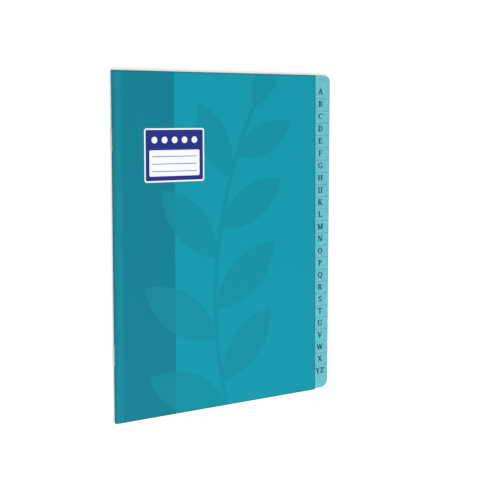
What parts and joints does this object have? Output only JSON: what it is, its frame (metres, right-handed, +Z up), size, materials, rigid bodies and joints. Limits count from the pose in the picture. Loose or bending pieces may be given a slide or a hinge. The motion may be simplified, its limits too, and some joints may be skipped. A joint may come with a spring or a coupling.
{
  "type": "indexed notebook",
  "caption": "Stapled index notebook with a folded card cover, shown closed, and an alphabet strip of stepped tabs down its fore-edge.",
  "frame": {"origin": "middle of the back cover's outer face, on the surface that the notebook lies on", "axes": "+X from the spine to the index strip, +Y from the tail to the head of the pages, +Z up from the back cover to the front cover"},
  "size_m": [0.1703, 0.22, 0.0031],
  "materials": {
    "page_paper": "matte",
    "printed_card": "gloss",
    "staple_wire": "satin"
  },
  "bodies": {
    "pages": {"page_block": "page_paper", "cover_spine": "printed_card", "upper_staple": "staple_wire", "lower_staple": "staple_wire"},
    "front": {"front_cover": "printed_card"},
    "back": {"back_cover": "printed_card"}
  },
  "joints": [
    {"name": "front_cover_hinge", "type": "hinge", "parent": "pages", "child": "front", "pos_m": [-0.08347, 0, 0.00291], "axis": [0, -1, 0], "range_deg": [0, 179.5]},
    {"name": "back_cover_hinge", "type": "hinge", "parent": "pages", "child": "back", "pos_m": [-0.08347, 0, 0.00015], "axis": [0, 1, 0], "range_deg": [0, 180]}
  ]
}
